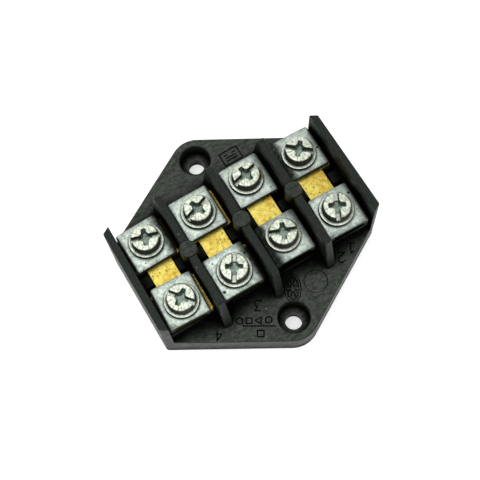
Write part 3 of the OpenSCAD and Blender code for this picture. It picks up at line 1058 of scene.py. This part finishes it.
    def marks(self) -> Mesh:
        """Tool for all the plain marks: pole numbers, a badge, a ring, bars and figures."""
        ring = self.stroke(ellipse((self.witness_r, self.witness_r), 36), 0.0, self.witness_line_w)
        tools = [self.badge(), moved(ring, (*WITNESS_PLACE, 0))]
        lines = []
        for place, turn, size, digit in PLATE_NUMBERS:
            for points in DIGITS[digit]:
                lines.append((place, turn, [((x - 0.5) * size, (y - 0.8) * size) for x, y in points]))
        for place, turn, length in PLATE_BARS:
            lines.append((place, turn, [(-length / 2, 0.0), (length / 2, 0.0)]))
        for place, turn, count, radius in PLATE_FIGURES:
            lines.append((place, turn, arc((0, 0), radius, 180 / count, 360 + 180 / count, count)))
        tools += [moved(self.stroke(points, turn), (*place, 0)) for place, turn, points in lines]
        for low, high in PLATE_FRAMES:
            tools.append(self.stroke([low, (high[0], low[1]), high, (low[0], high[1]), low]))
        return joined(tools)

    def build(self) -> None:
        """Builds and dresses the moulding."""
        parts = [self.pedestal()]
        for x in self.barrier_xs:
            parts += [self.inner_barrier(x), self.post(x)]
        parts += [self.outer_barrier(side) for side in SIDES]
        for x in self.pole_xs:
            parts += self.blocks(x)
        mesh = self.plate()
        for part in parts:
            mesh = carved(mesh, part, "UNION")
        tools = [self.underside(), *(self.groove(x) for x in self.barrier_xs)]
        tools += [self.pocket(x, side * self.row_y) for side in SIDES for x in self.pole_xs]
        for tool in [*tools, self.witness()]:
            mesh = carved(mesh, tool)
        mesh = carved(mesh, self.marks(), tool_index=1)
        for side in SIDES:
            mesh = carved(mesh, self.mounting_hole(side), tool_index=2)
        finished(mesh, "moulding", "moulding", "base", [WORN_PHENOLIC, SUNK_PHENOLIC, BORED_PHENOLIC])


# ---------------------------------------------------------------- bars and terminals


@dataclass
class BusBars:
    """Four brass bars, waisted in the middle and tapped at both ends."""

    neck_w: float = 7.0
    notch_half: float = 3.25
    corner_r: float = 0.6
    hole_r: float = 2.05
    countersink: float = 0.25
    row_y: float = 9.0
    edge_r: float = 0.18
    # The row whose right-hand ledge is left out of the painted shade, +1 for a and -1 for b.
    lit_rows: dict[int, float] = field(default_factory=lambda: {1: -1.0, 2: 1.0})

    def outline(self, half: Point2) -> list[Point2]:
        """A bar's outline about its own middle, counterclockwise."""
        width, length = half
        neck = self.neck_w / 2
        soft = self.corner_r
        quarter = [(neck, 0.0), (neck, self.notch_half)]
        quarter += arc((width - soft, self.notch_half + soft), soft, -90, 0, 4)
        quarter += arc((width - soft, length - soft), soft, 0, 90, 4)
        upper = quarter + [(-x, y) for x, y in reversed(quarter)]
        return upper[1:-1] + [(-x, -y) for x, y in upper[1:-1]]

    def build(self) -> None:
        """Builds and dresses the bars."""
        wide = self.hole_r + self.countersink
        for pole in POLES:
            low, high = node_box(f"bus_bar_{pole}")
            middle = (low + high) / 2
            mesh = prism(self.outline(((high.x - low.x) / 2, (high.y - low.y) / 2)), low.z, high.z)
            rounded_edges(mesh, self.edge_r, 2, level_edge)
            floor, top = low.z - CLEAR, high.z + CLEAR
            bore = [(0, floor), (self.hole_r, floor), (self.hole_r, high.z - self.countersink)]
            for s in SIDES:
                hole = lathe([*bore, (wide, high.z), (wide, top), (0, top)], 64)
                mesh = carved(mesh, moved(hole, (0, s * self.row_y, 0)))
            moved(mesh, (middle.x, middle.y, 0))
            lit_row = self.lit_rows.get(pole, 0.0)
            brass = RolledBrass(f"rolled_brass_{pole}", middle=(middle.x, middle.y), lit_row=lit_row)
            finished(mesh, f"brass_bar_{pole}", "moulding", f"bus_bar_{pole}", [brass])


@dataclass
class SaddleClamps:
    """Eight pressed saddle clamps, bent down along both sides, each a little askew."""

    half_w: float = 5.65
    half_length: float = 5.8
    sheet_t: float = 1.0
    bend_r: float = 0.5
    inner_r: float = 0.15
    corner_r: float = 0.45
    hole_r: float = 2.7
    edge_r: float = 0.12
    bow: float = 0.16
    rows: int = 16
    shade_run: float = 3.2
    rim_shade: float = 0.55
    rim_run: float = 1.7
    pit_depth: float = 0.25
    pit_cup: float = 0.1
    pit_floor_share: float = 0.7
    pit_clear: float = 0.2
    leg_share: float = 0.4
    corner_sweep_deg: float = 80.0
    flat_steps: int = 9
    # Corroded pits in the plating: X and Y from the middle, and radius.
    pits: dict[str, list[Triple]] = field(
        default_factory=lambda: {
            "2b": [(-3.5, 4.0, 0.28), (4.8, 2.4, 0.38), (-4.6, -3.85, 0.55)],
            "4b": [(4.8, 2.85, 0.5)],
            "4a": [(4.9, -0.9, 0.42)],
            "3a": [(4.2, -4.6, 0.25)],
            "1a": [(-2.6, -4.4, 0.2)],
        }
    )
    # Each clamp's shift from its screw's axis in X and Y, and its turn in degrees.
    askew: dict[str, Triple] = field(
        default_factory=lambda: {
            "1a": (-0.35, -0.3, 1.5),
            "1b": (-0.25, 0.5, -2.4),
            "2a": (-0.3, 0.15, 0.0),
            "2b": (-0.3, 0.45, 0.0),
            "3a": (0.2, -0.4, 0.0),
            "3b": (0.2, -0.4, -1),
            "4a": (0.3, 0.35, -1),
            "4b": (0.3, -0.15, -1.8),
        }
    )
    # Painted shade where the plating stands in a wall's shade: bearing in degrees from the middle, distance
    # in mm at which the shade starts, and its strength.
    shades: dict[str, list[Triple]] = field(
        default_factory=lambda: {
            "1a": [(0, 2.4, 0.95), (-50, 4.8, 0.7)],
            "1b": [(-135, 4.6, 0.6), (-88, 4.4, 0.5), (0, 4.6, 0.5)],
            "2a": [(100, 4.9, 0.4), (0, 4.8, 0.35)],
            "2b": [(2, 2.6, 0.95), (-45, 4.6, 0.7), (-135, 5.0, 0.45)],
            "3a": [(5, 2.8, 0.7), (90, 4.0, 0.45), (-50, 5.0, 0.5), (150, 4.8, 0.4)],
            "3b": [(180, 1.4, 1.0), (5, 3.0, 0.9), (90, 3.2, 0.6), (-45, 5.0, 0.4)],
            "4a": [(180, 1.8, 1.0), (135, 4.4, 0.6), (0, 4.2, 0.5)],
            "4b": [(-100, 3.4, 0.6), (-135, 4.4, 0.5)],
        }
    )

    def section(self, height: float, half_w: float) -> list[Point2]:
        """The bent sheet's cross-section in X and Z, counterclockwise from a foot."""
        flat_x, bend_z = half_w - self.bend_r, height - self.bend_r
        under = (half_w - self.sheet_t - self.inner_r, height - self.sheet_t)
        outer = arc((flat_x, bend_z), self.bend_r, 0, 90, 6)
        inner = arc((under[0], under[1] - self.inner_r), self.inner_r, 90, 0, 3)
        right_out = [(half_w, 0.0), *outer]
        right_in = [*inner, (half_w - self.sheet_t, 0.0)]
        left_out = [(-x, z) for x, z in reversed(right_out)]
        left_in = [(-x, z) for x, z in reversed(right_in)]
        steps = self.flat_steps
        top = [(flat_x * k / steps, height) for k in range(steps - 1, -steps, -1)]
        return right_out + top + left_out + left_in + right_in

    def blank(self, height: float) -> Mesh:
        """The bent sheet about the screw's axis, with rounded corners in plan."""
        straight = self.half_length - self.corner_r
        turns = [math.radians(self.corner_sweep_deg * k / 5) for k in range(6)]
        ends = [(straight + self.corner_r * math.sin(t), self.corner_r * math.cos(t)) for t in turns]
        places = [(-y, keep) for y, keep in reversed(ends)]
        places += [(straight * (2 * k / self.rows - 1), self.corner_r) for k in range(1, self.rows)]
        places += ends
        both = 2 * places[-1][0] - NEAR

        def at_end(edge: Edge) -> bool:
            """Picks the edges round either end of the sheet."""
            return abs(sum(v.co.y for v in edge.verts)) > both

        mesh = bmesh.new()
        rings = []
        for y, keep in places:
            section = self.section(height, self.half_w - self.corner_r + keep)
            rings.append([mesh.verts.new((x, y, z)) for x, z in section])
        bridged(mesh, rings)
        mesh.faces.new(rings[0])
        mesh.faces.new(rings[-1])
        bmesh.ops.recalc_face_normals(mesh, faces=mesh.faces)
        return rounded_edges(mesh, self.edge_r, 2, at_end)

    def clamp(self, height: float, name: str) -> Mesh:
        """One clamp about its screw's axis, standing on z = 0."""
        mesh = self.blank(height)
        for vertex in mesh.verts:
            if vertex.co.z > height * self.leg_share:
                across = (vertex.co.x / self.half_w) ** 2
                along = (vertex.co.y / self.half_length) ** 2
                vertex.co.z -= self.bow * (across + along)
        mesh = carved(mesh, rod(self.hole_r, -CLEAR, height + CLEAR, 48))
        floor, rim = height - self.pit_depth, height + self.pit_clear
        for x, y, radius in self.pits.get(name, []):
            cup = [(0, floor - self.pit_cup), (radius * self.pit_floor_share, floor)]
            dimple = lathe([*cup, (radius, rim), (0, rim)], 20)
            mesh = carved(mesh, moved(dimple, (x, y, 0)), tool_index=1)
        return mesh

    def shaded(self, mesh: Mesh, name: str) -> Mesh:
        """Stores the painted shade at each point of a clamp, 0 to 1: darker towards its rim and where it
        stands in a wall's shade.
        """
        walled = mesh.verts.layers.float.new("walled")
        for vertex in mesh.verts:
            edge = min(self.half_w - abs(vertex.co.x), self.half_length - abs(vertex.co.y))
            most = self.rim_shade * min(1.0, max(0.0, 1 - edge / self.rim_run)) ** 2
            for bearing, start, strength in self.shades[name]:
                angle = math.radians(bearing)
                out = vertex.co.x * math.cos(angle) + vertex.co.y * math.sin(angle)
                share = min(1.0, max(0.0, (out - start) / self.shade_run))
                most = max(most, strength * share * share * (3 - 2 * share))
            vertex[walled] = most
        return mesh

    def build(self) -> None:
        """Builds and dresses the clamps."""
        finishes = [ZINC[Stock.CLAMP], ZINC[Stock.PIT]]
        for name in PLACES:
            low, high = node_box(f"clamp_plate_{name}")
            screw_low, screw_high = node_box(f"screw_{name}")
            axis = (screw_low + screw_high) / 2
            x, y, turn = self.askew[name]
            mesh = self.shaded(self.clamp(high.z - low.z, name), name)
            moved(mesh, (axis.x + x, axis.y + y, low.z), turn)
            finished(mesh, f"saddle_clamp_{name}", f"clamp_{name}", f"clamp_plate_{name}", finishes)


@dataclass
class Washers:
    """Eight captive washers with rolled outer edges."""

    bore_r: float = 2.3
    edge_r: float = 0.14
    dish: float = 0.1
    # Stains: bearing and half width in degrees, and strength.
    stains: dict[str, list[Triple]] = field(
        default_factory=lambda: {
            "3a": [(-15, 28, 0.9)],
            "3b": [(10, 16, 0.8), (0, 400, 0.16)],
            "1b": [(150, 14, 0.4)],
        }
    )

    def stained(self, mesh: Mesh, name: str) -> Mesh:
        """Stores how far each point of a washer is stained, 0 to 1."""
        layer = mesh.verts.layers.float.new("stained")
        for vertex in mesh.verts:
            at = math.degrees(math.atan2(vertex.co.y, vertex.co.x))
            most = 0.0
            for bearing, half, strength in self.stains.get(name, []):
                away = abs((at - bearing + 180) % 360 - 180)
                most = max(most, strength * min(1.0, max(0.0, 2 - 2 * away / half)))
            vertex[layer] = most
        return mesh

    def build(self) -> None:
        """Builds and dresses the washers."""
        soft = self.edge_r
        for name in PLACES:
            low, high = node_box(f"washer_{name}")
            middle, outer = (low + high) / 2, (high.x - low.x) / 2
            top = arc((outer - soft, high.z - self.dish - soft), soft, 0, 90, 4)
            bottom = arc((outer - soft / 2, low.z + soft / 2), soft / 2, -90, 0, 2)
            profile = [(self.bore_r, low.z), *bottom, *top, (self.bore_r, high.z)]
            mesh = moved(self.stained(lathe(profile), name), (middle.x, middle.y, 0))
            plated = [ZINC[Stock.WASHER]]
            finished(mesh, f"captive_washer_{name}", f"clamp_{name}", f"washer_{name}", plated)


@dataclass
class TerminalScrews:
    """Eight screws with a slotted cross recess and a rolled thread."""

    turns_deg: dict[str, float] = field(
        default_factory=lambda: dict(zip(PLACES, (-16, -52, 20, 59, 14, -21, -41, 64)))
    )
    head_h: float = 2.6
    head_edge_r: float = 0.5
    head_taper: float = 0.12
    foot_r: float = 0.25
    slot_w: float = 1.3
    slot_depth: float = 1.6
    recess_span: float = 4.5
    recess_arm_w: float = 1.2
    recess_depth: float = 2.0
    recess_core_r: float = 1.2
    recess_end_r: float = 0.28
    recess_taper: float = 0.72
    recess_lip: float = 0.02
    web: float = 1.08
    shank_r: float = 1.98
    core_r: float = 1.6
    pitch: float = 0.7
    crest_share: float = 1.15
    steps: int = 40
    rows_per_turn: int = 8
    neck_h: float = 1.2
    neck_rise: float = 0.1
    runout: float = 0.12
    overlap: float = 0.05
    chamfer: float = 0.6

    def head(self, radius: float, low: float, high: float) -> Mesh:
        """The head about its axis, with its slot along X."""
        soft, foot = self.head_edge_r, self.foot_r
        rim = arc((radius - self.head_taper - soft, high - soft), soft, 0, 90, 6)
        under = arc((radius - foot, low + foot), foot, -90, 0, 3)
        mesh = lathe([(0, low), *under, *rim, (0, high)])
        reach, side = radius + CLEAR, self.slot_w / 2
        slot = box_mesh((-reach, -side, high - self.slot_depth), (reach, side, high + CLEAR))
        mesh = carved(mesh, slot, tool_index=1)
        return carved(mesh, self.recess(high), tool_index=2)

    def recess(self, top: float) -> Mesh:
        """Tool for the cross recess: four round-ended arms that taper with depth."""
        arm, end = self.recess_arm_w / 2, self.recess_span / 2
        inner, soft = self.recess_core_r, self.recess_end_r
        quarter = arc((end - soft, soft - arm), soft, -90, 0, 3)
        quarter += arc((end - soft, arm - soft), soft, 0, 90, 3)
        quarter += [(inner, arm * self.web), (arm * self.web, inner)]
        star: list[Point2] = []
        for k in range(4):
            c, s = math.cos(k * math.pi / 2), math.sin(k * math.pi / 2)
            star += [(x * c - y * s, x * s + y * c) for x, y in quarter]
        levels = [(self.recess_taper, top - self.recess_depth), (1.0, top - self.recess_lip)]
        levels.append((1.0, top + CLEAR))
        mesh = bmesh.new()
        rings = [[mesh.verts.new((x * share, y * share, z)) for x, y in star] for share, z in levels]
        mesh.faces.new(rings[0][::-1])
        mesh.faces.new(rings[-1])
        bridged(mesh, rings)
        return mesh

    def shank(self, low: float, high: float) -> Mesh:
        """The shank: a rolled thread below a plain neck."""
        top = high - self.neck_h
        rows = int((top - low) / self.pitch * self.rows_per_turn)
        turns = [k / self.steps for k in range(self.steps)]
        levels: list[list[Triple]] = []
        for row in range(rows + 1):
            z = low + (top - low) * row / rows
            levels.append([])
            for turn in turns:
                crest = 1.0 - abs(2.0 * ((z / self.pitch - turn) % 1.0) - 1.0)
                depth = min(1.0, crest * self.crest_share)
                radius = self.core_r + (self.shank_r - self.core_r) * depth
                radius = min(radius, self.shank_r - self.chamfer + (z - low))
                levels[-1].append((radius, 2 * math.pi * turn, z))
        neck = self.core_r + self.neck_rise
        for z in (top + self.runout, high + self.overlap):
            levels.append([(neck, 2 * math.pi * turn, z) for turn in turns])
        mesh = bmesh.new()
        rings = []
        for level in levels:
            rings.append([mesh.verts.new((r * math.cos(t), r * math.sin(t), z)) for r, t, z in level])
        bridged(mesh, rings)
        mesh.faces.new(rings[0][::-1])
        mesh.faces.new(rings[-1])
        return mesh

    def build(self) -> None:
        """Builds and dresses the screws."""
        low, high = node_box("screw_1a")
        radius, seat = (high.x - low.x) / 2, high.z - self.head_h
        pattern = bpy.data.meshes.new("screw_pattern")
        whole = joined([self.head(radius, seat, high.z), self.shank(low.z, seat)])
        whole.to_mesh(pattern)
        whole.free()
        finishes = [ZINC[Stock.SCREW], ZINC[Stock.SLOT], ZINC[Stock.RECESS]]
        for name in PLACES:
            low, high = node_box(f"screw_{name}")
            middle = (low + high) / 2
            mesh = bmesh.new()
            mesh.from_mesh(pattern)
            moved(mesh, (middle.x, middle.y, 0), self.turns_deg[name])
            finished(mesh, f"terminal_screw_{name}", f"screw_{name}", f"screw_{name}", finishes)
        bpy.data.meshes.remove(pattern)


# ---------------------------------------------------------------- the studio


@dataclass
class Studio:
    """The white sweep, the soft light and the camera."""

    sweep_half: float = 1.2
    sweep_z: float = -0.0001
    camera_place: Triple = (-37.49, -78.05, 244.0)
    camera_right: Triple = (0.86051, -0.50826, -0.03454)
    camera_up: Triple = (0.48852, 0.80406, 0.33884)
    lens_mm: float = 73.39
    sensor_mm: float = 36.0
    clip: Point2 = (0.01, 10.0)
    white: str = "#ffffff"
    sky: float = 0.75
    key_place: Triple = (-0.12, 0.02, 0.46)
    key_watts: float = 0.75
    key_side: float = 0.5

    def floor(self) -> None:
        """The sweep under the object."""
        mesh = bmesh.new()
        bmesh.ops.create_grid(mesh, x_segments=8, y_segments=8, size=self.sweep_half)
        data = bpy.data.meshes.new("sweep")
        mesh.to_mesh(data)
        mesh.free()
        data.materials.append(WhiteSweep().material())
        sweep = placed("sweep", data)
        sweep.location.z = self.sweep_z

    def world(self) -> None:
        """A white room: plain light on the object, pure white to lens and metal."""
        world = bpy.data.worlds.new("white_room")
        world.use_nodes = True
        tree = world.node_tree
        tree.nodes.clear()
        seen = seen_by(tree, "Camera", "Glossy", "Transmission")
        room, white = (
            add_node(tree, "Background", {"Color": linear(self.white), "Strength": strength})
            for strength in (self.sky, 1.0)
        )
        mixed = add_node(tree, "MixShader", links={0: seen, 1: room, 2: white})
        add_node(tree, "OutputWorld", links={"Surface": mixed})
        bpy.context.scene.world = world

    def softbox(self) -> None:
        """One large softbox up and to the left."""
        light = bpy.data.lights.new("softbox", "AREA")
        light.shape = "SQUARE"
        light.size = self.key_side
        light.energy = self.key_watts
        lamp = placed("softbox", light)
        lamp.location = self.key_place
        lamp.rotation_mode = "QUATERNION"
        lamp.rotation_quaternion = (-lamp.location).to_track_quat("-Z", "Y")

    def camera(self) -> None:
        """The camera above and in front of the strip."""
        data = bpy.data.cameras.new("camera")
        data.lens = self.lens_mm
        data.sensor_width = self.sensor_mm
        data.clip_start, data.clip_end = self.clip
        right, up = Vector(self.camera_right), Vector(self.camera_up)
        turn = Matrix((right, up, right.cross(up))).transposed().to_4x4()
        camera = placed("camera", data)
        camera.matrix_world = Matrix.Translation(Vector(self.camera_place) * MM) @ turn
        bpy.context.scene.camera = camera

    def build(self) -> None:
        """Builds the studio."""
        self.floor()
        self.world()
        self.softbox()
        self.camera()
        bpy.context.scene.view_settings.view_transform = "Standard"
        LOG.info("studio: white sweep, softbox and camera")


def main() -> None:
    """Builds the terminal strip and the studio."""
    logging.basicConfig(level=logging.INFO, format="%(name)s: %(message)s")
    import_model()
    BaseMoulding().build()
    BusBars().build()
    SaddleClamps().build()
    Washers().build()
    TerminalScrews().build()
    Studio().build()


if __name__ == "__main__":
    main()
